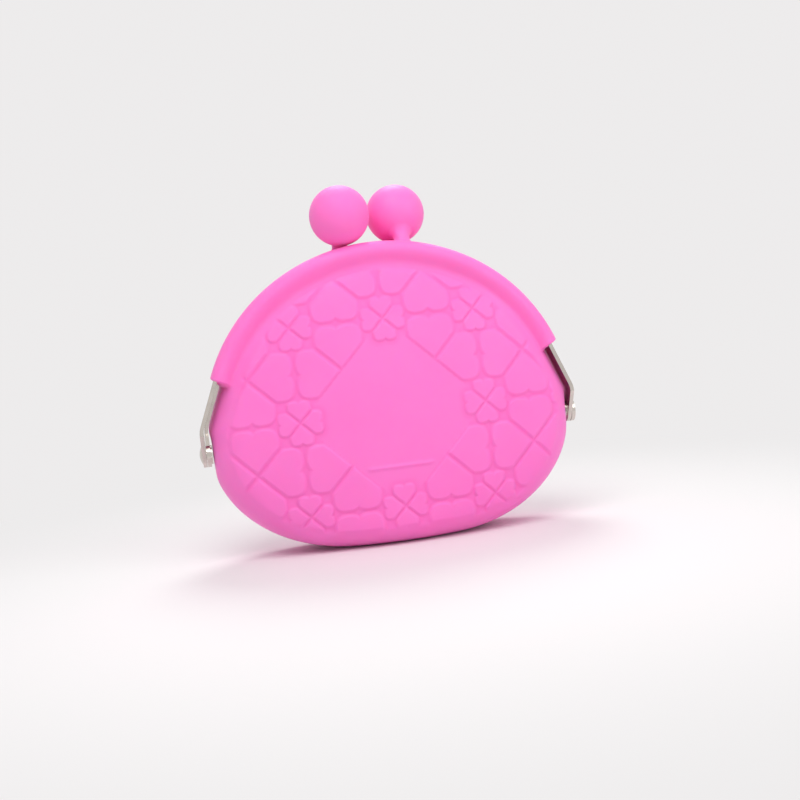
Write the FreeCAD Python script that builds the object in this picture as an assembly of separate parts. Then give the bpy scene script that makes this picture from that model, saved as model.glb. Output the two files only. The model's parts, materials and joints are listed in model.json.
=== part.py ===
"""Kiss-lock coin purse: a moulded silicone pouch on a riveted two-bar clasp frame.

Millimetres, +X right, +Y back, +Z up, base on z = 0. The back half is the front half turned
half round about Z, so the two frame bars are the same part.
"""
import FreeCAD, Part
import math
import os

# Hinge and mouth arch, on the centre line of the frame bars
HINGE_HEIGHT = 28.3
MOUTH_SPAN = 98.3
TAB_LENGTH = 5.4
BEND_RADIUS = 5.8
LEG_LENGTH = 13.0
LEG_SLANT = 22.0
CROWN_RISE = 48.3

# Frame bars
BAR_THICKNESS = 1.0
BAR_WIDTH = 5.4
LEG_GAP = 0.12
EYE_RADIUS = 3.2

# Hinge rivets
RIVET_RADIUS = 1.3
RIVET_CLEARANCE = 0.05
RIVET_HEAD_RADIUS = 2.5
RIVET_HEAD_HEIGHT = 0.75
RIVET_TAIL_HEIGHT = 0.45

# Rim beads
RIM_GAP = 0.5
RIM_DEPTH = 8.2
RIM_COVER = 1.4
RIM_DROP = 4.2
RIM_FRONT_ROUND = 2.8
RIM_MATING_ROUND = 0.8
RIM_TAIL = 2.2
TUNNEL_CLEARANCE = 0.1

# Pouch walls
POUCH_DEPTH = 28.0
POUCH_CLEARANCE = 0.5
WALL = 2.0
BASE_LENGTH = 25.0
BASE_DEPTH = 11.0
BELLY_LOW = 6.0
BELLY_HIGH = 19.0
THROAT_DEPTH = 12.0
END_SHARE = 0.78
LOWER_STEPS = 7
UPPER_STEPS = 6
UPPER_TURN = 76.0

# Fold zones of the wall, measured from the hinge axis
FOLD_DROP_ANGLE = 22.0
FOLD_RISE_ANGLE = 25.0

# Ball clasps
BALL_RADIUS = 7.8
BALL_GAP = 0.5
BALL_LIFT = 0.4
BALL_CROSS = 3.9
CORE_RADIUS = 5.0
POST_RADIUS = 1.3
POST_FOOT_RADIUS = 2.2
POST_FOOT_HEIGHT = 0.7
POST_REACH_SHARE = 0.5
NECK_RADIUS = 2.5

HALF_TURN = 180.0
X_AXIS = FreeCAD.Vector(1, 0, 0)
Y_AXIS = FreeCAD.Vector(0, 1, 0)
Z_AXIS = FreeCAD.Vector(0, 0, 1)

HALF_SPAN = MOUTH_SPAN / 2
SLANT = math.radians(LEG_SLANT)
TAB_TOP = HINGE_HEIGHT + TAB_LENGTH
CROWN_HEIGHT = HINGE_HEIGHT + CROWN_RISE
LAP_SHIFT = (BAR_THICKNESS + LEG_GAP) / 2
BAR_OUTER = BAR_THICKNESS / 2
RIM_TOP = CROWN_HEIGHT + BAR_OUTER + RIM_COVER
RIM_MATING = RIM_GAP / 2
BAR_LINE = -(RIM_MATING + RIM_DEPTH / 2)
POUCH_INSET = LAP_SHIFT + BAR_OUTER + RIVET_TAIL_HEIGHT + POUCH_CLEARANCE
POUCH_TOP = CROWN_HEIGHT - POUCH_INSET
REACH = 2 * MOUTH_SPAN


def on_plane(x, z):
    """Point of the arch plane, at y = 0."""
    return FreeCAD.Vector(x, 0, z)


def arch_nodes():
    """Joints of the right half of the mouth line: tab top, bend, leg, shoulder and crown.

    Shoulder and crown are two arcs with tangents of equal length from the leg's end and from the top.
    """
    bend_start = on_plane(HALF_SPAN, TAB_TOP)
    bend_centre = on_plane(HALF_SPAN - BEND_RADIUS, TAB_TOP)
    outward = on_plane(math.cos(SLANT), math.sin(SLANT))
    along = on_plane(-math.sin(SLANT), math.cos(SLANT))
    leg_start = bend_centre + outward * BEND_RADIUS
    leg_end = leg_start + along * LEG_LENGTH
    crown = on_plane(0, CROWN_HEIGHT)
    span = crown - leg_end
    slope = span.dot(along - X_AXIS)
    spread = 1 - math.sin(SLANT)
    tangent = (math.sqrt(slope ** 2 + 2 * spread * span.dot(span)) - slope) / (2 * spread)
    junction = (leg_end + along * tangent + crown + X_AXIS * tangent) / 2
    shoulder_chord = junction - leg_end
    crown_chord = junction - crown
    shoulder_centre = leg_end + outward * (shoulder_chord.dot(shoulder_chord) / (2 * shoulder_chord.dot(outward)))
    crown_centre = crown + Z_AXIS * (crown_chord.dot(crown_chord) / (2 * crown_chord.z))
    shoulder_radius = (leg_end - shoulder_centre).Length
    shoulder_ray = (leg_end + junction) / 2 - shoulder_centre
    shoulder_ray.normalize()
    return {
        "bend_start": bend_start,
        "bend_mid": bend_centre + on_plane(math.cos(SLANT / 2), math.sin(SLANT / 2)) * BEND_RADIUS,
        "leg_start": leg_start,
        "leg_end": leg_end,
        "shoulder_mid": shoulder_centre + shoulder_ray * shoulder_radius,
        "shoulder_centre": shoulder_centre,
        "crown_centre": crown_centre,
        "junction": junction,
        "crown": crown,
        "rim_start": leg_end - along * RIM_TAIL,
    }


def mirrored(point):
    """The same point on the left side."""
    return FreeCAD.Vector(-point.x, point.y, point.z)


def arc(first, middle, last):
    """Edge of the circle through three points."""
    return Part.Arc(first, middle, last).toShape()


def mouth_line(start, with_bend):
    """Wire of the mouth line from the left to the right, from the named joint upwards."""
    nodes = arch_nodes()
    edges = [
        Part.makeLine(nodes[start], nodes["leg_end"]),
        arc(nodes["leg_end"], nodes["shoulder_mid"], nodes["junction"]),
    ]
    left = [
        arc(mirrored(nodes["junction"]), mirrored(nodes["shoulder_mid"]), mirrored(nodes["leg_end"])),
        Part.makeLine(mirrored(nodes["leg_end"]), mirrored(nodes[start])),
    ]
    crown = arc(nodes["junction"], nodes["crown"], mirrored(nodes["junction"]))
    if with_bend:
        edges.insert(0, arc(nodes["bend_start"], nodes["bend_mid"], nodes["leg_start"]))
        left.append(arc(mirrored(nodes["leg_start"]), mirrored(nodes["bend_mid"]),
                        mirrored(nodes["bend_start"])))
    return Part.Wire(edges + [crown] + left)


def swept(profile, start, with_bend):
    """Solid of a closed profile carried along the mouth line."""
    return mouth_line(start, with_bend).makePipeShell([profile], True, False)


def strip_profile(origin, outward, half_thickness, half_width):
    """Rectangle round a point of the mouth line, thickness outward and width along Y."""
    corners = [(-half_thickness, -half_width), (half_thickness, -half_width),
               (half_thickness, half_width), (-half_thickness, half_width)]
    points = [origin + outward * out + Y_AXIS * side for out, side in corners]
    return Part.makePolygon(points + points[:1])


def rounded_corner(before, corner, after, radius):
    """Two tangent points and the middle of a rounded right-angled corner."""
    towards = before - corner
    towards.normalize()
    onward = after - corner
    onward.normalize()
    start = corner + towards * radius
    finish = corner + onward * radius
    centre = start + onward * radius
    inward = corner - centre
    inward.normalize()
    return start, centre + inward * radius, finish


def rim_profile(origin, outward):
    """Bead section with two full rounds in front and two small ones at the mating face."""
    top = BAR_OUTER + RIM_COVER
    front = -(RIM_MATING + RIM_DEPTH)
    places = [(-RIM_DROP, -RIM_MATING, RIM_MATING_ROUND), (top, -RIM_MATING, RIM_MATING_ROUND),
              (top, front, RIM_FRONT_ROUND), (-RIM_DROP, front, RIM_FRONT_ROUND)]
    corners = [origin + outward * out + Y_AXIS * side for out, side, _ in places]
    edges = []
    rounds = []
    for index, (_, _, radius) in enumerate(places):
        after = corners[(index + 1) % len(corners)]
        rounds.append(rounded_corner(corners[index - 1], corners[index], after, radius))
    for index, (start, middle, finish) in enumerate(rounds):
        edges.append(arc(start, middle, finish))
        edges.append(Part.makeLine(finish, rounds[(index + 1) % len(rounds)][0]))
    return Part.Wire(edges)


def rim_envelope():
    """Front bead as a full bar, with no tunnel."""
    nodes = arch_nodes()
    outward = on_plane(math.cos(SLANT), math.sin(SLANT))
    return swept(rim_profile(nodes["rim_start"], outward), "rim_start", False)


def rim_back():
    """Square strip over the bead's mating rounds, where the wall has no part."""
    outward = on_plane(math.cos(SLANT), math.sin(SLANT))
    top = BAR_OUTER + RIM_COVER
    half_width = (RIM_MATING + RIM_MATING_ROUND) / 2
    origin = arch_nodes()["rim_start"] + outward * ((top - RIM_DROP) / 2) - Y_AXIS * half_width
    profile = strip_profile(origin, outward, (top + RIM_DROP) / 2, half_width)
    return swept(profile, "rim_start", False)


def leg_plate(side, thickness, margin):
    """Flat lower end of a leg, from the bar's full width down to the round eye."""
    eye = FreeCAD.Vector(0, 0, HINGE_HEIGHT)
    radius = EYE_RADIUS + margin
    corners = []
    for edge in (-1, 1):
        corner = FreeCAD.Vector(0, BAR_LINE + edge * (BAR_WIDTH / 2 + margin), TAB_TOP)
        ray = corner - eye
        lean = math.acos(radius / ray.Length)
        turn = math.atan2(ray.z, ray.y) - edge * lean
        touch = eye + FreeCAD.Vector(0, math.cos(turn), math.sin(turn)) * radius
        corners.append((corner, touch))
    (front_top, front_touch), (back_top, back_touch) = corners
    bottom = eye - Z_AXIS * radius
    outline = Part.Wire([
        Part.makeLine(front_top, front_touch),
        arc(front_touch, bottom, back_touch),
        Part.makeLine(back_touch, back_top),
        Part.makeLine(back_top, front_top),
    ])
    plate = Part.Face(outline).extrude(X_AXIS * thickness)
    plate.translate(X_AXIS * (side * HALF_SPAN - thickness / 2))
    return plate


def bar_blank(margin):
    """Front bar, arch and two legs, before the eyes are drilled, grown by a margin."""
    half_thickness = BAR_OUTER + margin
    origin = arch_nodes()["bend_start"] + Y_AXIS * BAR_LINE
    profile = strip_profile(origin, X_AXIS, half_thickness, BAR_WIDTH / 2 + margin)
    blank = swept(profile, "leg_start", True)
    for side in (-1, 1):
        blank = blank.fuse(leg_plate(side, 2 * half_thickness, margin))
    blank = blank.removeSplitter()
    blank.translate(X_AXIS * -LAP_SHIFT)
    return blank


def hinge_cylinder(radius, start, length):
    """Cylinder on the hinge axis from a place on X."""
    return Part.makeCylinder(radius, length, FreeCAD.Vector(start, 0, HINGE_HEIGHT), X_AXIS)


def frame_bar():
    """Front frame bar with its two drilled eyes."""
    return bar_blank(0).cut(hinge_cylinder(RIVET_RADIUS + RIVET_CLEARANCE, -MOUTH_SPAN, 2 * MOUTH_SPAN))


def hinge_rivet():
    """Right rivet: domed head outside, shank through both legs, flat tail inside."""
    half_stack = LAP_SHIFT + BAR_OUTER
    outside = HALF_SPAN + half_stack
    inside = HALF_SPAN - half_stack
    shank = hinge_cylinder(RIVET_RADIUS, inside, outside - inside)
    tail = hinge_cylinder(RIVET_HEAD_RADIUS, inside - RIVET_TAIL_HEIGHT, RIVET_TAIL_HEIGHT)
    dome_radius = (RIVET_HEAD_RADIUS ** 2 + RIVET_HEAD_HEIGHT ** 2) / (2 * RIVET_HEAD_HEIGHT)
    centre = FreeCAD.Vector(outside + RIVET_HEAD_HEIGHT - dome_radius, 0, HINGE_HEIGHT)
    dome = Part.makeSphere(dome_radius, centre)
    head = dome.common(hinge_cylinder(RIVET_HEAD_RADIUS, outside, RIVET_HEAD_HEIGHT))
    return shank.fuse(tail).fuse(head).removeSplitter()


def oval(half_width, half_depth, height):
    """Four-centre oval: two flat arcs in front and behind, two tight arcs at the ends."""
    end = END_SHARE * half_depth
    lever = half_width - end
    broad = (lever ** 2 + half_depth ** 2 - end ** 2) / (2 * (half_depth - end))
    offset = broad - half_depth
    reach = broad / (broad - end)
    touch_x = lever * reach
    touch_y = offset * (reach - 1)
    corner = [(touch_x, -touch_y), (touch_x, touch_y), (-touch_x, touch_y), (-touch_x, -touch_y)]
    right_front, right_back, left_back, left_front = [FreeCAD.Vector(x, y, height) for x, y in corner]
    return Part.Wire([
        arc(left_front, FreeCAD.Vector(0, -half_depth, height), right_front),
        arc(right_front, FreeCAD.Vector(half_width, 0, height), right_back),
        arc(right_back, FreeCAD.Vector(0, half_depth, height), left_back),
        arc(left_back, FreeCAD.Vector(-half_width, 0, height), left_front),
    ])


def depth_at(height, inset):
    """Half depth of the pouch at a height: a round bottom, an upright belly, a lean to the throat."""
    full = POUCH_DEPTH / 2 - inset
    flat = BASE_DEPTH / 2
    if height < BELLY_LOW:
        drop = (BELLY_LOW - height) / (BELLY_LOW - inset)
        return flat + (full - flat) * math.sqrt(1 - min(drop, 1) ** 2)
    if height < BELLY_HIGH:
        return full
    climb = (height - BELLY_HIGH) / (POUCH_TOP - BELLY_HIGH)
    return full - (POUCH_DEPTH - THROAT_DEPTH) / 2 * climb ** 2


def mouth_half_width(height, inset):
    """Half width at a height inside the mouth line, drawn in by an inset: tab, leg, shoulder, crown."""
    nodes = arch_nodes()
    centre = nodes["shoulder_centre"]
    crown_centre = nodes["crown_centre"]
    drawn = {}
    for name, middle in (("leg_end", centre), ("junction", crown_centre)):
        ray = nodes[name] - middle
        drawn[name] = middle + ray * ((ray.Length - inset) / ray.Length)
    leg_end = drawn["leg_end"]
    if height < leg_end.z:
        return min(HALF_SPAN - inset, leg_end.x + (leg_end.z - height) * math.tan(SLANT))
    middle = centre if height < drawn["junction"].z else crown_centre
    radius = (nodes["junction"] - middle).Length - inset
    return middle.x + math.sqrt(radius ** 2 - (height - middle.z) ** 2)


def pouch_sections(inset):
    """Level sections of the pouch's pillow form, inset all round for the inner form."""
    sections = []
    drawn_in = POUCH_INSET + inset
    wide = mouth_half_width(HINGE_HEIGHT, drawn_in)
    flat = BASE_LENGTH / 2
    for step in range(LOWER_STEPS):
        turn = math.pi / 2 * step / LOWER_STEPS
        height = HINGE_HEIGHT - (HINGE_HEIGHT - inset) * math.cos(turn)
        width = flat + (wide - flat) * math.sin(turn)
        sections.append(oval(width, depth_at(height, inset), height))
    for step in range(UPPER_STEPS + 1):
        turn = math.radians(UPPER_TURN) * step / UPPER_STEPS
        height = HINGE_HEIGHT + (CROWN_HEIGHT - drawn_in - HINGE_HEIGHT) * math.sin(turn)
        sections.append(oval(mouth_half_width(height, drawn_in), depth_at(height, inset), height))
    return sections


def pouch_shell():
    """Hollow pouch, open at the throat."""
    inner = pouch_sections(WALL)
    throat = Part.Face(inner[-1]).extrude(Z_AXIS * RIM_DROP)
    outer = Part.makeLoft(pouch_sections(0), True, False)
    return outer.cut(Part.makeLoft(inner, True, False)).cut(throat)


def prism(corners):
    """Full-width prism along X over a polygon given as pairs of y and z."""
    points = [FreeCAD.Vector(-REACH, y, z) for y, z in corners]
    return Part.Face(Part.makePolygon(points + points[:1])).extrude(X_AXIS * 2 * REACH)


def wall_zones(shell):
    """Bowl, front fold and front wall, parted by planes through the hinge axis."""
    low = HINGE_HEIGHT - REACH * math.tan(math.radians(FOLD_DROP_ANGLE))
    rise = math.tan(math.radians(FOLD_RISE_ANGLE))
    high = HINGE_HEIGHT + REACH * rise
    seam = HINGE_HEIGHT + RIM_MATING * rise
    bowl = shell.common(prism([(0, HINGE_HEIGHT), (-REACH, low), (-REACH, -REACH),
                               (REACH, -REACH), (REACH, low)]))
    fold = shell.common(prism([(0, HINGE_HEIGHT), (-REACH, low), (-REACH, high)]))
    wall = shell.common(prism([(-RIM_MATING, seam), (-REACH, high), (-REACH, REACH + high),
                               (-RIM_MATING, REACH + high)]))
    return bowl, fold, wall


def clasp_line():
    """Foot on the bar and centre of the front ball."""
    place = BALL_RADIUS + BALL_GAP / 2
    crown_radius = CROWN_HEIGHT - arch_nodes()["crown_centre"].z
    drop = crown_radius - math.sqrt(crown_radius ** 2 - place ** 2)
    foot = FreeCAD.Vector(place, BAR_LINE, CROWN_HEIGHT + BAR_OUTER - drop)
    return foot, FreeCAD.Vector(place, BALL_CROSS, RIM_TOP - drop + BALL_LIFT + BALL_RADIUS)


def clasp_post(margin):
    """Leaning post on its foot disc, grown by a margin."""
    foot, ball = clasp_line()
    lean = ball - foot
    length = lean.Length - CORE_RADIUS * POST_REACH_SHARE
    post = Part.makeCylinder(POST_RADIUS + margin, length + margin, foot, lean)
    sink = Z_AXIS * (POST_FOOT_HEIGHT / 2)
    height = POST_FOOT_HEIGHT + sink.Length + margin
    disc = Part.makeCylinder(POST_FOOT_RADIUS + margin, height, foot - sink, Z_AXIS)
    return post.fuse(disc)


def clasp_core():
    """Hard ball on the end of the post."""
    _, ball = clasp_line()
    return Part.makeSphere(CORE_RADIUS, ball).cut(clasp_post(0))


def ball_cover(rim):
    """Soft cover of the ball with the neck that stands on the rim."""
    foot, ball = clasp_line()
    lean = ball - foot
    neck = Part.makeCylinder(NECK_RADIUS, lean.Length, foot, lean).cut(rim)
    skin = Part.makeSphere(BALL_RADIUS, ball).fuse(neck).removeSplitter()
    return skin.cut(Part.makeSphere(CORE_RADIUS, ball)).cut(clasp_post(0))


def turned(shape):
    """The same piece on the other half of the purse."""
    copy = shape.copy()
    copy.rotate(FreeCAD.Vector(0, 0, 0), Z_AXIS, HALF_TURN)
    return copy


def save(node, shape):
    """Write one node, checked to be sound."""
    if shape.isNull() or not shape.isValid() or shape.Volume <= 0:
        raise ValueError("unsound shape: " + node)
    if len(shape.Solids) == 1:
        shape = shape.Solids[0]
    shape.exportStep(os.path.join("parts", node + ".step"))


def main():
    os.makedirs("parts", exist_ok=True)
    rim = rim_envelope()
    bowl, fold, wall = wall_zones(pouch_shell())
    hollow = bar_blank(TUNNEL_CLEARANCE).fuse(clasp_post(TUNNEL_CLEARANCE))
    rivet = hinge_rivet()
    bar = frame_bar()
    front = {
        "fold": fold,
        "wall": wall.cut(rim).cut(rim_back()),
        "rim_bead": rim.cut(hollow),
        "frame_bar": bar,
        "clasp_post": clasp_post(0).cut(bar),
        "clasp_core": clasp_core(),
        "ball_cover": ball_cover(rim),
    }
    save("pouch_bowl", bowl)
    save("right_hinge_rivet", rivet)
    save("left_hinge_rivet", turned(rivet))
    for name, shape in front.items():
        save("front_" + name, shape)
        save("back_" + name, turned(shape))


main()
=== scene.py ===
"""Kiss-lock coin purse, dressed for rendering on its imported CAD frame.

A silicone moulding with an embossed heart pattern, two ball clasps and a riveted steel frame.
Metres, +X right, +Y back, +Z up. The front half is worked out; the back half is the same turned
half round about Z.
"""

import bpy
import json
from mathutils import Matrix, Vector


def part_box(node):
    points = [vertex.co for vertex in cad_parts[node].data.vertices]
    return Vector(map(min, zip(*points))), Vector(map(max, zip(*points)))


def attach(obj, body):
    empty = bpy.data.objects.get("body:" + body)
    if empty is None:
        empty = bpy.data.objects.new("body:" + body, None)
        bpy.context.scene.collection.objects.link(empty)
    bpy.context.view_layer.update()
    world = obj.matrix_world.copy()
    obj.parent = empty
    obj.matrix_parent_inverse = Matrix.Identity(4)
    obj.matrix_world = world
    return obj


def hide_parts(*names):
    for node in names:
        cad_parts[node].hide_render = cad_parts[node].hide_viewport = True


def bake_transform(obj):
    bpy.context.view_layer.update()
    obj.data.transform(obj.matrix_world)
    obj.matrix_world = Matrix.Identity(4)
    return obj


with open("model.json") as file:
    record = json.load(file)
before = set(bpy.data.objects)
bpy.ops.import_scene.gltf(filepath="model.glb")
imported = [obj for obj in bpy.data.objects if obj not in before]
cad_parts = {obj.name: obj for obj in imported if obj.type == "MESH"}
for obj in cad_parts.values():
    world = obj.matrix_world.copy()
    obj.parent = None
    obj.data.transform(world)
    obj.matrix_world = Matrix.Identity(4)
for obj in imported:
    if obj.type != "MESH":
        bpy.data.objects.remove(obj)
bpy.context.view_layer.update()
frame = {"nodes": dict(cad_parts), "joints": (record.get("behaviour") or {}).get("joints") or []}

import json
import math

import bpy
import numpy as np
from bpy.props import FloatProperty, FloatVectorProperty, IntProperty, PointerProperty
from mathutils import Matrix, Vector

bl_info = {
    "name": "Kiss-lock coin purse",
    "version": (1, 0, 0),
    "blender": (4, 5, 0),
    "location": "View3D > Sidebar > Purse",
    "description": "Builds the moulded skin, ball clasps, steel finish and stage of a coin purse",
    "category": "Object",
}

# Places taken from the frame, and the two halves with the turn that makes each from the front one
HINGE_HEIGHT = frame["joints"][0]["pos_m"][2]
CORE_LOW, CORE_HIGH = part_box("front_clasp_core")
COVER_LOW, COVER_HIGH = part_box("front_ball_cover")
BALL_CENTRE = (CORE_LOW + CORE_HIGH) / 2
HALVES = (("front", np.array([1.0, 1.0, 1.0])), ("back", np.array([-1.0, -1.0, 1.0])))

# Steps of the outline, rows and columns of the meshes, and the crowding of columns at the bead's ends
OUTLINE_SAMPLES = 6000
TANGENT_REACH = 3
ELLIPSE_STEPS, BEND_STEPS, SHOULDER_STEPS, CROWN_STEPS = 400, 40, 300, 400
SKIN_COLUMNS, INNER_ROWS, END_CROWDING = 520, 15, 5.0
FACE_ROWS, ROUND_ROWS, LEVEL_ROWS, CORNER_ROWS = 20, 7, 4, 3
BALL_COLUMNS, BALL_ROWS, NECK_ROWS = 96, 49, 21
FLOOR_COLUMNS, FLOOR_ROWS = 96, 24

# Limits that keep the formulas and the meshes sound, and the sizes of the distance table
SAME_POINT = 1e-9
LEAST_DEPTH = 1e-6
LEAST_LEVER_SHARE = 0.05
CLIMB_LIMIT = 1.1
CELL_MARGIN_SHARE = 0.35
STRIP_POINTS, LOOP_STRIDE = 4000, 10

# Heart of unit side: place and radius of a lobe, and length from tip to lobe
LOBE_ASIDE, LOBE_UP, LOBE_RADIUS = 0.25, 0.75, math.sqrt(2.0) / 4.0
HEART_LENGTH = LOBE_UP + LOBE_RADIUS

# Noise scales per metre, the usual range of a noise, and sockets of the colour mix node
SILICONE_GRAIN = {"Grain Scale": 2600.0, "Mottle Scale": 55.0}
NICKEL_GRAIN = {"Mottle Scale": 240.0, "Speck Scale": 900.0}
CORE_GRAIN = {"Grain Scale": 1500.0, "Mottle Scale": 90.0}
STREAK_SCALE = (700.0, 6000.0, 700.0)
NOISE_RANGE = (0.3, 0.7)
MIX_FACTOR, MIX_FIRST, MIX_SECOND, MIX_RESULT = 0, 6, 7, 2

# Name, place, width and power in watts of each lamp, and the colour of the light from all round
LAMPS = (
    ("key_lamp", (-0.08, -0.24, 0.40), 0.36, 1.05),
    ("fill_lamp", (0.32, -0.34, 0.26), 0.40, 0.70),
    ("back_lamp", (0.06, 0.30, 0.52), 0.26, 1.30),
)
WHITE = (1.0, 1.0, 1.0)

# Inmost ring of the floor, then the camera's film in millimetres, its clip range and its shift in pixels
FLOOR_HUB = 0.001
FILM_WIDTH = 36.0
CLIP_NEAR, CLIP_FAR = 0.01, 20.0
PICTURE_PIXELS, SHIFT_PIXELS = 800.0, 11.5


def length(name, description, default, least=0.0):
    """A size in metres for the panel."""
    return FloatProperty(name=name, description=description, default=default, min=least, precision=5,
                         unit="LENGTH")


def ratio(name, description, default):
    """A plain number for the panel."""
    return FloatProperty(name=name, description=description, default=default, precision=4)


def angle(name, description, degrees):
    """An angle for the panel."""
    return FloatProperty(name=name, description=description, default=math.radians(degrees), subtype="ANGLE")


def colour(name, description, default):
    """A linear colour for the panel."""
    return FloatVectorProperty(name=name, description=description, default=default, size=3,
                               min=0.0, max=1.0, subtype="COLOR")


class PurseMouth(bpy.types.PropertyGroup):
    """Arch of the frame bars, on their centre line."""
    hinge_height: length("Hinge height", "Height of the hinge axis above the base", HINGE_HEIGHT)
    span: length("Mouth span", "Width between the hinge tabs", 0.0983)
    tab: length("Hinge tab", "Upright length of a leg above the hinge axis", 0.0054)
    bend: length("Leg bend", "Bend radius between a tab and its leg", 0.0058)
    leg: length("Bare leg", "Straight length of a leg", 0.0130)
    slant: angle("Leg slant", "Lean of the legs from upright", 22.0)
    rise: length("Crown rise", "Height of the arch above the hinge axis", 0.0483)


class PursePouch(bpy.types.PropertyGroup):
    """Pillow form of the moulded pouch."""
    inset: length("Outline inset", "Distance of the pouch outline inside the mouth line", 0.0010)
    depth: length("Pouch depth", "Greatest depth of the pouch", 0.0280)
    throat: length("Throat depth", "Depth of the pouch under the crown of the arch", 0.0120)
    base_length: length("Base length", "Length of the flat underside", 0.0250)
    base_depth: length("Base depth", "Depth of the flat underside", 0.0110)
    belly_low: length("Belly start", "Height where the round bottom ends", 0.0060)
    belly_high: length("Belly end", "Height where the lean to the throat starts", 0.0190)
    wall: length("Wall", "Thickness of the moulding", 0.0020)
    inside: length("Inside start", "Distance inside the outline where the plain inside starts", 0.0055)
    dome: length("Underside dome", "Height of the soft dome of the underside", 0.0005)
    end_share: ratio("End share", "Radius of the pouch's sides as a share of its half depth", 0.78)
    seat: length("Rivet seat", "Distance of the dimple behind a rivet inside the mouth line", 0.00165)
    seat_radius: length("Seat radius", "Radius of the flat of that dimple", 0.0026)
    seat_edge: length("Seat edge", "Width of that dimple's sloping edge", 0.0060)
    fold_below: length("Fold below", "Reach below the hinge of the zone that bends on opening", 0.0100)
    fold_above: length("Fold above", "Reach above the hinge of that zone", 0.0165)


class PurseRim(bpy.types.PropertyGroup):
    """Bead of the moulding round the frame bars, measured from the mouth line."""
    top: length("Bead top", "Height of the bead outside the mouth line", 0.0019)
    drop: length("Bead drop", "Reach of the bead inside the mouth line", 0.0042)
    lip: length("Bead lip", "Reach of the bead's underside past the drop", 0.0006)
    front: length("Bead front", "Distance of the bead's front from the middle plane", 0.00845)
    round: length("Bead round", "Depth of the round from the bead's front to its level top", 0.0030)
    gap: length("Half gap", "Half of the gap between the two beads", 0.00006)
    part_below: length("Parting start", "Distance below the hinge where the halves start to part", 0.0010)
    part_length: length("Parting length", "Height over which the gap between the halves opens", 0.0030)
    slope: length("Bead slope", "Width of the slope from the bead's crest to the valley", 0.0046)
    floor: length("Valley floor", "Distance of the valley's floor from the middle plane", 0.0063)
    crest: length("Bead crest", "Distance of the bead's crest inside the mouth line", 0.0005)
    corner: length("Mating corner", "Round of the bead at its mating face", 0.0008)
    valley: length("Valley", "Softness of the valley between bead and face", 0.0012)
    tail: length("Bead tail", "Length of bead below the end of the shoulder", 0.0022)
    fade: length("Bead end", "Length over which the end of the bead is closed", 0.0016)


class PurseRelief(bpy.types.PropertyGroup):
    """Embossed hearts on both faces."""
    pitch: length("Pattern pitch", "Distance between like clovers", 0.0241)
    middle: length("Pattern middle", "Height of the bare panel's middle", 0.0342)
    aside: length("Pattern shift", "Sideways shift of the pattern", -0.0008, least=-0.0100)
    small: length("Small heart", "Size of a heart in the small clovers", 0.0054)
    lobe_power: ratio("Lobe power", "Power of the lobes' superellipse; 2 is a circle", 2.6)
    height: length("Pad height", "Height of the heart pads", 0.00042)
    sink_share: ratio("Sink share", "Share of the pads' height that lies under the plain face", 0.45)
    groove: length("Groove", "Half width of the groove floor between pads", 0.00006)
    edge: length("Pad edge", "Width of a pad's rounded edge", 0.00080)
    small_edge: length("Small pad edge", "Width of the rounded edge of a small heart", 0.00055)
    border: length("Pattern border", "Distance of the pattern's border inside the outline", 0.0043)
    fade: length("Pattern fade", "Width over which the pattern runs out at its border", 0.0014)
    # Reach of the painted shade past the pads' edges, out into the grooves.
    shade_reach: length("Groove tint", "Reach of the deeper colour outside the pads", 0.0016)
    line_length: length("Line length", "Length of the raised line under the bare panel", 0.0152)
    line_drop: length("Line drop", "Distance of the line below the panel's middle", 0.0137)
    line_height: length("Line height", "Height of the raised line", 0.00028)
    line_width: length("Line width", "Half width of the raised line", 0.00045)
    line_taper: ratio("Line taper", "Sharpness of the line's ends against its sides", 0.5)
    cells: IntProperty(name="Cells", description="Mesh cells along one pitch", default=86, min=20)


class PurseClasp(bpy.types.PropertyGroup):
    """Ball clasps."""
    radius: length("Ball radius", "Radius of a covered ball", (COVER_HIGH.x - COVER_LOW.x) / 2)
    post: length("Post foot", "Distance of the post's foot from the middle plane", 0.00435)
    cover: length("Post cover", "Depth of the post's foot under the bead's top", 0.0014)
    leave: angle("Neck start", "Angle from the ball's top to the start of the neck", 156.0)
    neck: length("Neck", "Least radius of the neck", 0.0021)
    waist: ratio("Waist", "Place of the least radius as a share of the neck's length", 0.5)
    flare: ratio("Flare", "Power of the neck's curve away from the waist", 2.2)
    foot: length("Neck foot", "Radius of the neck where it meets the bead", 0.0036)
    foot_share: ratio("Foot share", "Front-to-back radius of the foot as a share of its radius", 0.88)
    sink: length("Foot sink", "Depth of the foot's end in the bead", 0.0008)


class PurseFinish(bpy.types.PropertyGroup):
    """Colours of the materials."""
    silicone: colour("Silicone", "Moulded silicone", (1.0, 0.190, 0.588))
    # The deep colour is the silicone's random mottle tone and also the painted shade in the grooves between
    # hearts.
    groove_shade_and_mottle: colour("Silicone, deep", "Silicone in the grooves", (0.96, 0.126, 0.490))
    nickel: colour("Nickel", "Plated frame", (0.66, 0.61, 0.56))
    pits: colour("Pits", "Small pits in the plating", (0.30, 0.26, 0.22))
    core: colour("Core plastic", "Plastic of the ball cores", (0.90, 0.88, 0.86))
    # Strength of the painted shade in the grooves between hearts.
    groove_shade_share: ratio("Groove share", "Share of the deep colour in the grooves", 0.45)
    mottle_share: ratio("Mottle share", "Share of the deep colour in the silicone's mottle", 0.16)
    dull_share: ratio("Dull share", "Brightness of the plating's dull patches", 0.72)
    shade_share: ratio("Shade share", "Brightness of the core's darker patches", 0.9)


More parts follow.
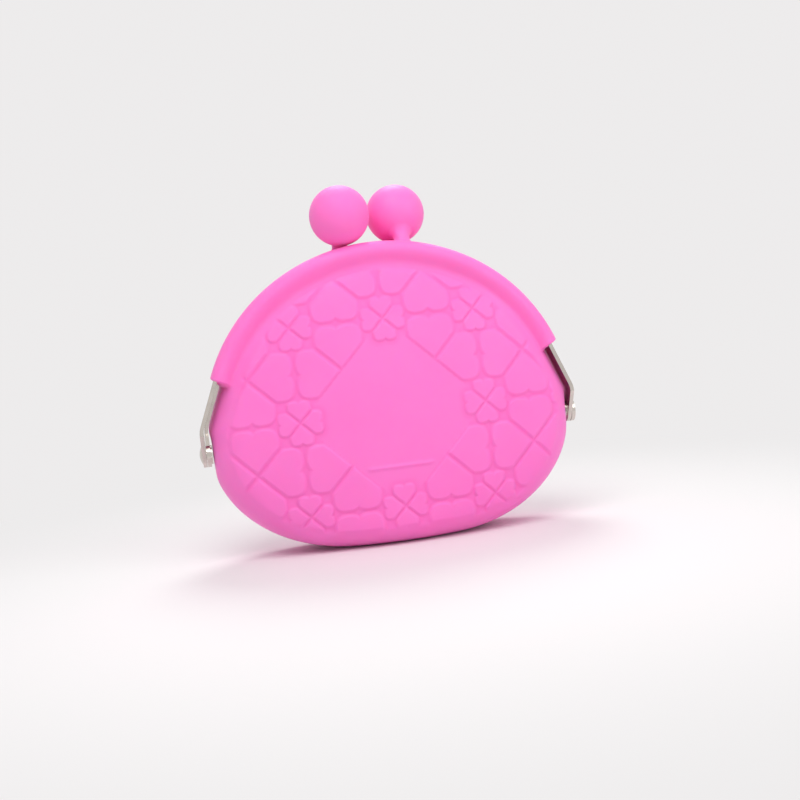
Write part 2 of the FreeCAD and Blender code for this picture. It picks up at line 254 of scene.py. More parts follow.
class PurseStage(bpy.types.PropertyGroup):
    """Floor, light and camera."""
    background: colour("Background", "Background and far floor", (0.850, 0.836, 0.838))
    ambient: ratio("Ambient", "Strength of the light from all round", 0.49)
    floor: colour("Floor", "Floor under the purse", (0.800, 0.790, 0.790))
    floor_radius: length("Floor radius", "Radius of the floor", 2.0)
    floor_near: length("Floor near", "Distance where the floor starts to run into the background", 0.060)
    floor_far: length("Floor far", "Distance where the floor has the background's colour", 0.20)
    azimuth: angle("Azimuth", "Camera's turn round the purse", -9.0)
    elevation: angle("Elevation", "Camera's height over the horizon", 3.0)
    roll: angle("Roll", "Lean of the purse in the picture", 6.5)
    distance: length("Distance", "Camera's distance from its target", 0.288)
    target: length("Target height", "Height that the camera looks at", 0.0368)
    focal: ratio("Focal share", "Focal length as a share of the picture's width", 1.351)
    shift: ratio("Shift", "Sideways shift as a share of the picture's width", SHIFT_PIXELS / PICTURE_PIXELS)


class PurseSettings(bpy.types.PropertyGroup):
    """All sizes and colours of the purse."""
    mouth: PointerProperty(type=PurseMouth)
    pouch: PointerProperty(type=PursePouch)
    rim: PointerProperty(type=PurseRim)
    relief: PointerProperty(type=PurseRelief)
    clasp: PointerProperty(type=PurseClasp)
    finish: PointerProperty(type=PurseFinish)
    stage: PointerProperty(type=PurseStage)


def steps(count):
    """Even shares from 1 / count to 1."""
    return (np.arange(count) + 1.0) / count


def full_turn(count):
    """Even angles round a circle."""
    return np.arange(count) / count * 2.0 * math.pi


def smooth_step(values):
    """Cubic ease from 0 to 1, clipped at both ends."""
    share = np.clip(values, 0.0, 1.0)
    return share * share * (3.0 - 2.0 * share)


def smooth_max(first, second, width):
    """Larger of two heights, with a parabolic fillet where they are within width of each other."""
    near = np.clip(width - np.abs(first - second), 0.0, None) / width
    return np.maximum(first, second) + near * near * width / 4.0


def mix(first, second, share):
    """Straight blend of two numbers or arrays."""
    return first + (second - first) * share


def arc_points(centre, radius, start, end, count):
    """Points of a circle in the plane from one angle to another."""
    turn = np.linspace(start, end, count)
    return np.stack([centre[0] + radius * np.cos(turn), centre[1] + radius * np.sin(turn)], -1)


def stand_up(flat, front):
    """Points of the part from points of the middle plane and their distances in front of it."""
    return np.stack([flat[..., 0], -front, flat[..., 1]], -1)


def loop_quads(first, rows, columns):
    """Point numbers of stacked closed loops, the numbers one column on, and the quads between the loops."""
    index = first + np.arange(rows * columns).reshape(rows, columns)
    onward = np.roll(index, -1, axis=1)
    quads = np.stack([index[:-1], index[1:], onward[1:], onward[:-1]], -1).reshape(-1, 4)
    return index, onward, quads


def fan(tip, loop, following):
    """Triangles from one point to a closed loop, given by its points and the points after them."""
    return np.stack([np.full(len(loop), tip), loop, following], -1)


def arch(mouth):
    """Centres and radii of the shoulder and crown arcs.

    They are tangent to the leg, to each other and level on top, with tangents of equal length from the
    leg's end and from the top, which meet at the arcs' junction.
    """
    slant = mouth.slant
    outward = np.array([math.cos(slant), math.sin(slant)])
    along = np.array([-math.sin(slant), math.cos(slant)])
    bend = np.array([mouth.span / 2 - mouth.bend, mouth.hinge_height + mouth.tab])
    leg_end = bend + outward * mouth.bend + along * mouth.leg
    top = mouth.hinge_height + mouth.rise
    peak = np.array([0.0, top])
    span = peak - leg_end
    slope = span @ (along - [1.0, 0.0])
    spread = 1.0 - math.sin(slant)
    tangent = (math.sqrt(slope ** 2 + 2 * spread * (span @ span)) - slope) / (2 * spread)
    junction = (leg_end + along * tangent + peak + [tangent, 0.0]) / 2
    chord, rise = junction - leg_end, junction - peak
    shoulder_radius = -(chord @ chord) / (2 * (chord @ outward))
    crown_radius = -(rise @ rise) / (2 * rise[1])
    crown = np.array([0.0, top - crown_radius])
    ray = junction - crown
    return {"outward": outward, "along": along, "bend": bend, "leg_end": leg_end, "top": top,
            "shoulder": leg_end - outward * shoulder_radius, "shoulder_radius": shoulder_radius,
            "crown": crown, "crown_radius": crown_radius, "junction": math.atan2(ray[1], ray[0])}


class Outline:
    """Closed outline of the pouch seen from the front, with its outward normals.

    Flat base, quarter ellipse up to the hinge, then the mouth line drawn in by the inset:
    tab, bend, leg, shoulder and crown. Sampled evenly by length, anticlockwise from the base's middle.
    """

    def __init__(self, mouth, pouch):
        line = arch(mouth)
        self.line = line
        flat, wide = pouch.base_length / 2, mouth.span / 2 - pouch.inset
        turn = np.linspace(0.0, math.pi / 2, ELLIPSE_STEPS)
        leg_end = line["leg_end"] - line["outward"] * pouch.inset
        bend = arc_points(line["bend"], mouth.bend - pouch.inset, 0.0, mouth.slant, BEND_STEPS)
        shoulder = arc_points(line["shoulder"], line["shoulder_radius"] - pouch.inset, mouth.slant,
                              line["junction"], SHOULDER_STEPS)
        crown = arc_points(line["crown"], line["crown_radius"] - pouch.inset, line["junction"],
                           math.pi / 2, CROWN_STEPS)
        lower = np.stack([flat + (wide - flat) * np.sin(turn),
                          mouth.hinge_height * (1.0 - np.cos(turn))], -1)
        right = np.concatenate([[[0.0, 0.0]], lower, bend, leg_end[None], shoulder[1:], crown[1:]])
        whole = np.concatenate([right, (right * [-1.0, 1.0])[-2::-1]])
        apart = np.linalg.norm(np.diff(whole, axis=0), axis=1) > SAME_POINT
        whole = whole[np.concatenate([[True], apart])]
        along = np.concatenate([[0.0], np.cumsum(np.linalg.norm(np.diff(whole, axis=0), axis=1))])
        places = np.arange(OUTLINE_SAMPLES) / OUTLINE_SAMPLES * along[-1]
        self.points = np.stack([np.interp(places, along, column) for column in whole.T], -1)
        tangent = np.roll(self.points, -TANGENT_REACH, axis=0) - np.roll(self.points, TANGENT_REACH, axis=0)
        tangent /= np.linalg.norm(tangent, axis=1)[:, None]
        self.normals = np.stack([tangent[:, 1], -tangent[:, 0]], -1)
        past_flat = int(np.ceil(flat / along[-1] * OUTLINE_SAMPLES)) + TANGENT_REACH - 1
        self.side = slice(past_flat, OUTLINE_SAMPLES // 2)

    def drawn_in(self, inset):
        """The outline's samples moved in by an inset."""
        return self.points - self.normals * inset

    def at(self, share):
        """Points and normals at shares of the loop's length."""
        place = (np.asarray(share) % 1.0) * OUTLINE_SAMPLES
        low = np.floor(place).astype(int) % OUTLINE_SAMPLES
        high = (low + 1) % OUTLINE_SAMPLES
        part = (place - np.floor(place))[..., None]
        return [mix(row[low], row[high], part) for row in (self.points, self.normals)]

    def half_width(self, height, inset):
        """Half width at a height of the outline drawn in by an inset."""
        edge = self.drawn_in(inset)[self.side]
        return np.interp(height, edge[:, 1], edge[:, 0])


def half_depth(pouch, top, height, inset):
    """Half depth at a height: quarter ellipse at the bottom, upright belly, parabola to the throat.

    Just above the underside it closes to nothing over a small dome.
    """
    full, flat = pouch.depth / 2 - inset, pouch.base_depth / 2
    drop = np.clip((pouch.belly_low - height) / (pouch.belly_low - inset), 0.0, 1.0)
    low = flat + (full - flat) * np.sqrt(1.0 - drop ** 2)
    climb = np.clip((height - pouch.belly_high) / (top - pouch.belly_high), 0.0, CLIMB_LIMIT)
    depth = np.where(height < pouch.belly_low, low, full - (pouch.depth - pouch.throat) / 2 * climb ** 2)
    rise = np.clip((height - inset) / pouch.dome, 0.0, 1.0)
    return depth - flat * (1.0 - np.sqrt(1.0 - (1.0 - rise) ** 2))


def wall_front(settings, outline, points, inset):
    """Distance of the pouch's face in front of the middle plane at points of the plane.

    Each level section is a four-centre oval: a broad arc in front and a tight arc at each end.
    """
    pouch = settings.pouch
    x, height = np.abs(points[..., 0]), points[..., 1]
    depth = half_depth(pouch, outline.line["top"] - pouch.inset, height, inset)
    depth = np.maximum(depth, LEAST_DEPTH)
    end = pouch.end_share * depth
    lever = np.maximum(outline.half_width(height, inset) - end, LEAST_LEVER_SHARE * depth)
    broad = (lever ** 2 + depth ** 2 - end ** 2) / (2.0 * (depth - end))
    touch = lever * broad / (broad - end)
    front = np.sqrt(np.clip(broad ** 2 - x ** 2, 0.0, None)) - (broad - depth)
    side = np.sqrt(np.clip(end ** 2 - (x - lever) ** 2, 0.0, None))
    return np.where(x < touch, front, side)


def heart_distance(across, outward, power):
    """Signed distance to a heart of unit side with its tip at the origin.

    The sides run at 45 degrees; each lobe is a superellipse |x|^n + |y|^n = r^n, squarer than a circle.
    """
    lobe = (np.abs(across - LOBE_ASIDE) ** power + np.abs(outward - LOBE_UP) ** power) ** (1.0 / power)
    wedge = (across - outward) / math.sqrt(2.0)
    cheek = (across + outward - 1.0) / math.sqrt(2.0)
    return np.maximum(np.minimum(lobe - LOBE_RADIUS, cheek), wedge)


def clover(points, pitch, shift, size, power):
    """Distance to the nearest heart of clovers on a square lattice, with its cell's middle and place.

    A clover has four hearts, tips together, so the larger offset from its middle runs along a heart.
    """
    cell = (np.round(points / pitch - shift) + shift) * pitch
    local = points - cell
    reach = np.abs(local) / size
    return size * heart_distance(reach.min(-1), reach.max(-1), power), cell, local


def heart_relief(relief, points):
    """Height of the emboss and share of painted groove shade at points of the face.

    Large and small clovers alternate; the hearts that point into the bare panel are left out, and a
    thin raised line exp(-(d / w)^2) lies under the panel. A pad's edge is a cubic ease over its width.
    """
    pitch, power = relief.pitch, relief.lobe_power
    points = points - [relief.aside, relief.middle]
    large, cell, local = clover(points, pitch, shift=0.5, size=pitch / 2.0 / HEART_LENGTH, power=power)
    ring = (np.abs(cell) < pitch).all(-1)
    lengthwise = np.abs(local[..., 0]) > np.abs(local[..., 1])
    inwards = np.where(lengthwise, local[..., 0] * cell[..., 0], local[..., 1] * cell[..., 1]) < 0.0
    large = np.where(ring & inwards, pitch, large)
    small, cell, _ = clover(points, pitch, shift=0.0, size=relief.small, power=power)
    small = np.where((np.abs(cell) < pitch / 2.0).all(-1), pitch, small)
    distance = np.minimum(large, small)
    edge = np.where(large < small, relief.edge, relief.small_edge)
    pad = smooth_step((-distance - relief.groove) / edge)
    # Painted shade share: full in the grooves and on the pads' edges, fading out past them.
    groove = np.where(distance > 0.0, smooth_step(1.0 - distance / relief.shade_reach), 1.0 - pad)
    past_end = np.maximum(np.abs(points[..., 0]) - relief.line_length / 2.0, 0.0)
    fall = np.hypot(past_end * relief.line_taper, points[..., 1] + relief.line_drop)
    line = np.exp(-(fall / relief.line_width) ** 2)
    return relief.height * pad + relief.line_height * line, groove


def face_grid(relief, outline, loop):
    """Flat square grid of the face, cut to the border loop, with its rim snapped on to the border.

    The grid's lines fall on the pattern's lattice and its diagonals on the grooves between hearts. A point
    with fewer than four cells round it is on the rim. Returns points, square cells, the rim's indices in
    loop order and their shares of the loop.
    """
    step = relief.pitch / relief.cells
    wide = int(np.ceil((loop[:, 0].max() + abs(relief.aside)) / step)) + 1
    low = int(np.floor((loop[:, 1].min() - relief.middle) / step)) - 1
    high = int(np.ceil((loop[:, 1].max() - relief.middle) / step)) + 1
    columns, rows = np.arange(-wide, wide + 1), np.arange(low, high + 1)
    grid = np.stack(np.meshgrid(relief.aside + columns * step, relief.middle + rows * step), -1)
    centres = (grid[:-1, :-1] + grid[1:, 1:]) / 2.0
    side, margin = loop[outline.side], CELL_MARGIN_SHARE * step
    room = np.interp(centres[..., 1], side[:, 1], side[:, 0], left=-1.0, right=-1.0)
    used = (np.abs(centres[..., 0]) < room - margin) & (centres[..., 1] > loop[0, 1] + margin)
    index = np.arange(grid.shape[0] * grid.shape[1]).reshape(grid.shape[:2])
    corners = np.stack([index[:-1, :-1], index[:-1, 1:], index[1:, 1:], index[1:, :-1]], -1)
    cells = corners[used]
    count = np.bincount(cells.ravel(), minlength=index.size)
    kept = np.flatnonzero(count > 0)
    fresh = np.full(index.size, -1)
    fresh[kept] = np.arange(len(kept))
    points = grid.reshape(-1, 2)[kept].copy()
    rim = np.flatnonzero(count[kept] < 4)
    nearest = ((points[rim][:, None, :] - loop[None]) ** 2).sum(-1).argmin(1)
    stride = (loop[(nearest + 1) % OUTLINE_SAMPLES] - loop[nearest - 1]) / 2.0
    along = ((points[rim] - loop[nearest]) * stride).sum(-1) / (stride ** 2).sum(-1)
    share = ((nearest + along) / OUTLINE_SAMPLES) % 1.0
    base, normal = outline.at(share)
    points[rim] = base - normal * relief.border
    order = np.argsort(share, kind="stable")
    return points, fresh[cells], rim[order], share[order]


def zip_loops(inner, inner_share, outer, outer_share):
    """Triangles between two closed loops of different counts, both sorted by their share of the loop."""
    shares = np.concatenate([inner_share, outer_share])
    from_inner = np.argsort(shares, kind="stable") < len(inner)
    at_inner = np.cumsum(from_inner) - 1
    at_outer = np.cumsum(~from_inner) - 1
    before_inner = np.where(from_inner, at_inner - 1, at_inner)
    before_outer = np.where(from_inner, at_outer, at_outer - 1)
    step_inner = np.stack([inner[before_inner], outer[at_outer], inner[at_inner]], -1)
    step_outer = np.stack([inner[at_inner], outer[before_outer], outer[at_outer]], -1)
    return np.where(from_inner[:, None], step_inner, step_outer)


def bead_travel(rim, line, points):
    """Distance along the leg's direction past the start of the bead."""
    start = line["leg_end"] - line["along"] * rim.tail
    folded = np.stack([np.abs(points[:, 0]), points[:, 1]], -1)
    return (folded - start) @ line["along"]


def loop_shares(rim, outline):
    """Shares of the loop for its columns, closer together at the two ends of the bead."""
    travel = bead_travel(rim, outline.line, outline.points)
    weight = 1.0 + END_CROWDING * np.exp(-((travel - rim.fade / 2.0) / rim.fade) ** 2)
    total = np.concatenate([[0.0], np.cumsum(weight)])
    wanted = np.arange(SKIN_COLUMNS) / SKIN_COLUMNS * total[-1]
    return np.interp(wanted, total, np.arange(OUTLINE_SAMPLES + 1)) / OUTLINE_SAMPLES


def ring_rows(settings, outline, shares):
    """Rows of the moulding from the face's border round its edge to the inside, as places and fronts.

    Each row has, for the plain side wall and for the bead, its distance out from the outline and its
    distance in front of the middle plane. The two are blended by the bead's end. Also returns the rows
    at the two edges of the mating face.
    """
    mouth, pouch, rim = settings.mouth, settings.pouch, settings.rim
    base, normal = outline.at(shares)
    bead = smooth_step(bead_travel(rim, outline.line, base) / rim.fade)
    gap = rim.gap * smooth_step((base[:, 1] - mouth.hinge_height + rim.part_below) / rim.part_length)
    back = rim.gap + rim.corner
    quarter = math.pi / 2.0
    rows = []

    def front_at(offset, inset):
        return wall_front(settings, outline, base + normal * offset, inset)

    def add_row(side, side_front, out, out_front):
        rows.append((mix(side, out + pouch.inset, bead), mix(side_front, out_front, bead)))

    # Outside of the bead: face, valley and swell, then the round, the level top and the mating corner
    section = []
    for part in steps(FACE_ROWS):
        out = mix(-settings.relief.border - pouch.inset, -rim.crest, part)
        share = min((-rim.crest - out) / rim.slope, 1.0)
        swell = mix(rim.floor, rim.front, 0.5 + 0.5 * math.cos(math.pi * share))
        section.append((out, smooth_max(front_at(out + pouch.inset, 0.0), swell, rim.valley)))
    for turn in quarter * steps(ROUND_ROWS):
        section.append((mix(-rim.crest, rim.top, math.sin(turn)),
                        rim.front - rim.round * (1.0 - math.cos(turn))))
    for part in steps(LEVEL_ROWS):
        section.append((rim.top, mix(rim.front - rim.round, back, part)))
    for turn in quarter * steps(CORNER_ROWS):
        section.append((rim.top - rim.corner * (1.0 - math.cos(turn)), back - rim.corner * math.sin(turn)))
    start = section[0][0] + pouch.inset
    for place, (out, front) in enumerate(section):
        side = start * (1.0 - place / (len(section) - 1.0)) ** 2
        add_row(side, np.maximum(front_at(side, 0.0), gap), out, front)
    edge = len(rows) - 1

    # Mating face, in to the inner edge
    for part in steps(LEVEL_ROWS):
        add_row(-pouch.wall * part, gap, mix(rim.top - rim.corner, rim.corner - rim.drop, part), rim.gap)
    inner_edge = len(rows) - 1

    # Inner corner and underside of the bead; on the side wall the rounded inside
    under_end = -rim.drop - rim.lip
    under = np.maximum(front_at(under_end + pouch.inset, pouch.wall), back)
    section = []
    for turn in quarter * steps(CORNER_ROWS):
        section.append((rim.corner * (1.0 - math.sin(turn)) - rim.drop, back - rim.corner * math.cos(turn)))
    for part in steps(LEVEL_ROWS):
        section.append((mix(-rim.drop, under_end, part ** 3), mix(back, under, part)))
    for part, (out, front) in zip(steps(len(section)), section):
        side = mix(-pouch.wall, -pouch.inside, part ** 2)
        add_row(side, np.maximum(front_at(side, pouch.wall), gap), out, front)
    flat = np.stack([base + normal * offset[:, None] for offset, _ in rows])
    return flat, np.stack([front for _, front in rows]), (edge, inner_edge)


def seat_rivets(settings, points):
    """Points with a dimple in each side of the pouch behind its rivet.

    The side moves in by the seat's depth at the hinge axis. The move eases out with the distance from the
    axis and fades through the wall, so that no two points meet.
    """
    mouth, pouch = settings.mouth, settings.pouch
    side, x = mouth.span / 2 - pouch.inset, points[:, 0]
    away = np.hypot(points[:, 1], points[:, 2] - mouth.hinge_height)
    ease = 1.0 - smooth_step((away - pouch.seat_radius) / pouch.seat_edge)
    through = np.clip((np.abs(x) - side) / pouch.wall + 1.0, 0.0, 1.0)
    seated = x - np.sign(x) * (pouch.seat - pouch.inset) * ease * through
    return np.stack([seated, points[:, 1], points[:, 2]], -1)


def border_distance(points, loop):
    """Distance of points inside a loop from it, in strips of points to keep the table small."""
    strips = np.array_split(points, max(1, len(points) // STRIP_POINTS))
    sparse = loop[::LOOP_STRIDE]
    squares = [((strip[:, None, :] - sparse[None]) ** 2).sum(-1).min(1) for strip in strips]
    return np.sqrt(np.concatenate(squares))


def moulded_skin(settings):
    """Closed skin of the front half: embossed face grid, edge ring and inside down to a pole.

    Returns points, quads, triangles, shares of painted groove shade and the edges to keep sharp.
    """
    relief, wall = settings.relief, settings.pouch.wall
    outline = Outline(settings.mouth, settings.pouch)
    border = outline.drawn_in(relief.border)
    flat, cells, rim, rim_share = face_grid(relief, outline, border)
    raised, groove = heart_relief(relief, flat)
    run_out = smooth_step(border_distance(flat, border) / relief.fade)
    front = wall_front(settings, outline, flat, 0.0) + (raised - relief.sink_share * relief.height) * run_out

    shares = loop_shares(settings.rim, outline)
    ring_flat, ring_front, sharp_rows = ring_rows(settings, outline, shares)
    pole = np.array([[0.0, relief.middle]])
    inner_flat = mix(ring_flat[-1], pole, steps(INNER_ROWS)[:-1, None, None])
    inner_front, pole_front = [wall_front(settings, outline, part, wall) for part in (inner_flat, pole)]

    loops = np.concatenate([stand_up(ring_flat, ring_front), stand_up(inner_flat, inner_front)])
    points = np.concatenate([stand_up(flat, front), loops.reshape(-1, 3), stand_up(pole, pole_front)])
    index, onward, quads = loop_quads(len(flat), len(loops), SKIN_COLUMNS)
    triangles = np.concatenate([zip_loops(rim, rim_share, index[0], shares),
                                fan(len(points) - 1, onward[-1], index[-1])])
    # Share of painted groove shade, run out with the pattern at its border; none on the edge ring or the
    # inside.
    grooves = np.concatenate([groove * run_out, np.zeros(len(points) - len(flat))])
    below = ring_flat[:, :, 1] < settings.mouth.hinge_height
    sharp = [np.stack([index[row], onward[row]], -1)[below[row]] for row in sharp_rows]
    return (seat_rivets(settings, points), np.concatenate([cells, quads]), triangles, grooves,
            np.concatenate(sharp))


def clasp_skin(settings):
    """Skin of the front ball: a sphere that flows into a waisted neck and its foot on the bead.

    The neck's rings turn from square to the leaning post to the slope of the bead's top, and its radius
    is two power curves that meet at the waist.
    """
    rim, clasp = settings.rim, settings.clasp
    line = arch(settings.mouth)
    ball = np.array(BALL_CENTRE)
    top_radius = line["crown_radius"] + rim.top
    bead_top = line["crown"][1] + math.sqrt(top_radius ** 2 - ball[0] ** 2)
    foot = np.array([ball[0], -clasp.post, bead_top - clasp.cover])
    axis = (ball - foot) / np.linalg.norm(ball - foot)
    across = np.array([1.0, 0.0, 0.0])
    aside = np.cross(axis, across)
    turn = full_turn(BALL_COLUMNS)
    cosine, sine = np.cos(turn)[:, None], np.sin(turn)[:, None]
    polar = (clasp.leave * steps(BALL_ROWS))[:, None, None]
    circle = cosine * across + sine * aside
    sphere = ball + clasp.radius * (np.cos(polar) * axis + np.sin(polar) * circle)

    down = steps(NECK_ROWS)
    ease = smooth_step(down)[:, None]
    begin = ball + axis * clasp.radius * math.cos(clasp.leave)
    landing = foot + axis * (clasp.cover / axis[2]) - [0.0, 0.0, clasp.sink]
    middle = mix(begin, landing, down[:, None])
    sides = mix(aside, np.array([0.0, np.sign(aside[1]), 0.0]), ease)
    sides /= np.linalg.norm(sides, axis=1)[:, None]
    upper = down < clasp.waist
    edge = np.where(upper, clasp.radius * math.sin(clasp.leave), clasp.foot)
    away = np.where(upper, 1.0 - down / clasp.waist, (down - clasp.waist) / (1.0 - clasp.waist))
    radius = mix(clasp.neck, edge, away ** clasp.flare)[:, None, None]
    depth = radius * mix(1.0, clasp.foot_share, ease)[..., None]
    neck = middle[:, None, :] + radius * cosine * across + depth * sine * sides[:, None, :]
    level = np.sqrt(top_radius ** 2 - neck[..., 0] ** 2) + line["crown"][1]
    neck[..., 2] += (level - bead_top) * ease

    loops = np.concatenate([sphere, neck])
    points = np.concatenate([[ball + axis * clasp.radius], loops.reshape(-1, 3), [landing]])
    index, onward, quads = loop_quads(1, len(loops), BALL_COLUMNS)
    ends = [fan(0, index[0], onward[0]), fan(len(points) - 1, onward[-1], index[-1])]
    return points, quads, np.concatenate(ends)


def floor_disc(stage):
    """Round floor of rings that widen with the square of their number."""
    turn = full_turn(FLOOR_COLUMNS)
    radius = FLOOR_HUB + stage.floor_radius * np.linspace(0.0, 1.0, FLOOR_ROWS)[:, None] ** 2
    level = np.zeros((FLOOR_ROWS, FLOOR_COLUMNS))
    loops = np.stack([radius * np.cos(turn), radius * np.sin(turn), level], -1)
    points = np.concatenate([np.zeros((1, 3)), loops.reshape(-1, 3)])
    index, onward, quads = loop_quads(1, FLOOR_ROWS, FLOOR_COLUMNS)
    return points, quads, fan(0, index[0], onward[0])


def mesh_piece(name, points, quads, triangles, grooves=None, sharp=None):
    """Object at the origin from arrays of points, quads and triangles, with smooth faces."""
    mesh = bpy.data.meshes.new(name)
    mesh.vertices.add(len(points))
    mesh.vertices.foreach_set("co", np.asarray(points, np.float32).ravel())
    corners = np.concatenate([quads.ravel(), triangles.ravel()]).astype(np.int32)
    sizes = np.concatenate([np.full(len(quads), 4), np.full(len(triangles), 3)])
    starts = np.concatenate([[0], np.cumsum(sizes)[:-1]]).astype(np.int32)
    mesh.loops.add(len(corners))
    mesh.loops.foreach_set("vertex_index", corners)
    mesh.polygons.add(len(sizes))
    mesh.polygons.foreach_set("loop_start", starts)
    mesh.update(calc_edges=True)
    mesh.polygons.foreach_set("use_smooth", np.ones(len(sizes), bool))
    # The groove attribute holds the share of painted shade in the grooves.
    if grooves is not None:
        shares = mesh.attributes.new("groove", "FLOAT", "POINT")
        shares.data.foreach_set("value", grooves.astype(np.float32))
    if sharp is not None:
        ends = np.empty(len(mesh.edges) * 2, np.int32)
        mesh.edges.foreach_get("vertices", ends)
        key = np.array([len(points), 1])
        edges, wanted = [np.sort(pairs.astype(np.int64), axis=1) @ key
                         for pairs in (ends.reshape(-1, 2), sharp)]
        marks = mesh.attributes.new("sharp_edge", "BOOLEAN", "EDGE")
        marks.data.foreach_set("value", np.isin(edges, wanted))
    mesh.validate()
    piece = bpy.data.objects.new(name, mesh)
    bpy.context.scene.collection.objects.link(piece)
    return piece


def rgba(value):
    """Colour with full alpha for a socket."""
    return (*value, 1.0)


def set_inputs(tree, node, inputs):
    """Link or set a node's inputs, given by name or number."""
    for key, value in inputs.items():
        if isinstance(value, bpy.types.NodeSocket):
            tree.links.new(value, node.inputs[key])
        else:
            node.inputs[key].default_value = value


def add_node(tree, kind, inputs=None, **settings):
    """New node with its settings and inputs."""
    node = tree.nodes.new(kind)
    for key, value in settings.items():
        setattr(node, key, value)
    set_inputs(tree, node, inputs or {})
    return node


def mix_colour(tree, factor, first, second):
    """Colour mix of two sockets or colours."""
    inputs = {MIX_FACTOR: factor, MIX_FIRST: first, MIX_SECOND: second}
    return add_node(tree, "ShaderNodeMix", inputs, data_type="RGBA").outputs[MIX_RESULT]


def mix_shader(tree, factor, first, second):
    """Mix of two shaders by a socket."""
    inputs = {0: factor, 1: first.outputs[0], 2: second.outputs[0]}
    return add_node(tree, "ShaderNodeMixShader", inputs).outputs[0]


def math_node(tree, operation, first, second):
    """Product, maximum or the like of two sockets."""
    return add_node(tree, "ShaderNodeMath", {0: first, 1: second}, operation=operation).outputs[0]


def remap(tree, value, given, wanted, ease="LINEAR"):
    """Socket carried from a given range over to a wanted one."""
    inputs = {"Value": value, "From Min": given[0], "From Max": given[1], "To Min": wanted[0],
              "To Max": wanted[1]}
    return add_node(tree, "ShaderNodeMapRange", inputs, interpolation_type=ease).outputs["Result"]


def bump(tree, height, strength, distance):
    """Normal from a height."""
    inputs = {"Height": height, "Strength": strength, "Distance": distance}
    return add_node(tree, "ShaderNodeBump", inputs).outputs["Normal"]


def object_place(tree):
    """An object's own coordinates."""
    return add_node(tree, "ShaderNodeTexCoord").outputs["Object"]


def grain_group():
    """Moulding or plating grain: two noises and cells of an object's own coordinates.

    Height is for bump, Mottle varies slowly over the surface and Speck marks rare small points.
    """
    found = bpy.data.node_groups.get("purse_grain")
    if found:
        return found
    tree = bpy.data.node_groups.new("purse_grain", "ShaderNodeTree")
    for direction, names in (("INPUT", ("Grain Scale", "Mottle Scale", "Speck Scale")),
                             ("OUTPUT", ("Height", "Mottle", "Speck"))):
        for name in names:
            tree.interface.new_socket(name=name, in_out=direction, socket_type="NodeSocketFloat")
    scale, place = add_node(tree, "NodeGroupInput").outputs, object_place(tree)
    fine = add_node(tree, "ShaderNodeTexNoise", {"Vector": place, "Scale": scale["Grain Scale"],
                                                 "Detail": 3.0, "Roughness": 0.6})
    slow = add_node(tree, "ShaderNodeTexNoise", {"Vector": place, "Scale": scale["Mottle Scale"],
                                                 "Detail": 2.0, "Roughness": 0.5})
    cell = add_node(tree, "ShaderNodeTexVoronoi", {"Vector": place, "Scale": scale["Speck Scale"]})
    rare = remap(tree, cell.outputs["Distance"], (0.02, 0.10), (1.0, 0.0))
    add_node(tree, "NodeGroupOutput", {"Height": fine.outputs["Fac"], "Mottle": slow.outputs["Fac"],
                                       "Speck": rare})
    return tree


def grain(tree, scales):
    """Outputs of the grain group placed in a material with its own scales."""
    return add_node(tree, "ShaderNodeGroup", scales, node_tree=grain_group()).outputs


def new_material(name):
    """Material with its node tree and Principled shader."""
    material = bpy.data.materials.new(name)
    material.use_nodes = True
    return material, material.node_tree, material.node_tree.nodes["Principled BSDF"]


def silicone_material(finish):
    """Matte moulded silicone: painted shade in the grooves, slow mottle and a fine grain."""
    material, tree, shader = new_material("moulded_silicone")
    groove = add_node(tree, "ShaderNodeAttribute", attribute_name="groove").outputs["Fac"]
    texture, deep = grain(tree, SILICONE_GRAIN), rgba(finish.groove_shade_and_mottle)
    # Painted shade: the groove attribute mixes the deep colour into the grooves; the mottle mix is random
    # tone.
    depth = remap(tree, groove, (0.0, 1.0), (0.0, finish.groove_shade_share))
    slow = remap(tree, texture["Mottle"], (0.35, 0.65), (0.0, finish.mottle_share))
    body = mix_colour(tree, slow, mix_colour(tree, depth, rgba(finish.silicone), deep), deep)
    set_inputs(tree, shader, {
        "Base Color": body, "Roughness": remap(tree, texture["Mottle"], NOISE_RANGE, (0.46, 0.60)),
        "Normal": bump(tree, texture["Height"], 0.12, 0.00008), "Specular IOR Level": 0.35,
        "Subsurface Weight": 0.35, "Subsurface Radius": (0.0040, 0.0009, 0.0018), "Subsurface Scale": 1.0,
        "Sheen Weight": 0.06, "Sheen Roughness": 0.5})
    return material


def nickel_material(finish):
    """Nickel-plated steel: rolled streaks, small pits and uneven polish."""
    material, tree, shader = new_material("nickel_plate")
    texture = grain(tree, NICKEL_GRAIN)
    stretch = add_node(tree, "ShaderNodeMapping", {"Vector": object_place(tree), "Scale": STREAK_SCALE})
    streak = add_node(tree, "ShaderNodeTexNoise", {"Vector": stretch.outputs["Vector"], "Scale": 1.0,
                                                   "Detail": 2.0}).outputs["Fac"]
    dull = rgba(finish.dull_share * part for part in finish.nickel)
    worn = remap(tree, texture["Mottle"], NOISE_RANGE, (0.0, 0.5))
    pits = remap(tree, texture["Speck"], (0.0, 1.0), (0.0, 0.15))
    body = mix_colour(tree, pits, mix_colour(tree, worn, rgba(finish.nickel), dull), rgba(finish.pits))
    set_inputs(tree, shader, {
        "Base Color": body, "Roughness": remap(tree, streak, NOISE_RANGE, (0.13, 0.22)),
        "Normal": bump(tree, streak, 0.05, 0.00002), "Metallic": 1.0, "Specular IOR Level": 0.5})
    return material


def core_material(finish):
    """Moulded plastic of the ball cores."""
    material, tree, shader = new_material("core_plastic")
    texture = grain(tree, CORE_GRAIN)
    shade = rgba(finish.shade_share * part for part in finish.core)
    slow = remap(tree, texture["Mottle"], NOISE_RANGE, (0.0, 0.6))
    set_inputs(tree, shader, {
        "Base Color": mix_colour(tree, slow, rgba(finish.core), shade),
        "Roughness": remap(tree, texture["Mottle"], NOISE_RANGE, (0.38, 0.50)),
        "Normal": bump(tree, texture["Height"], 0.10, 0.00006), "Specular IOR Level": 0.5})
    return material


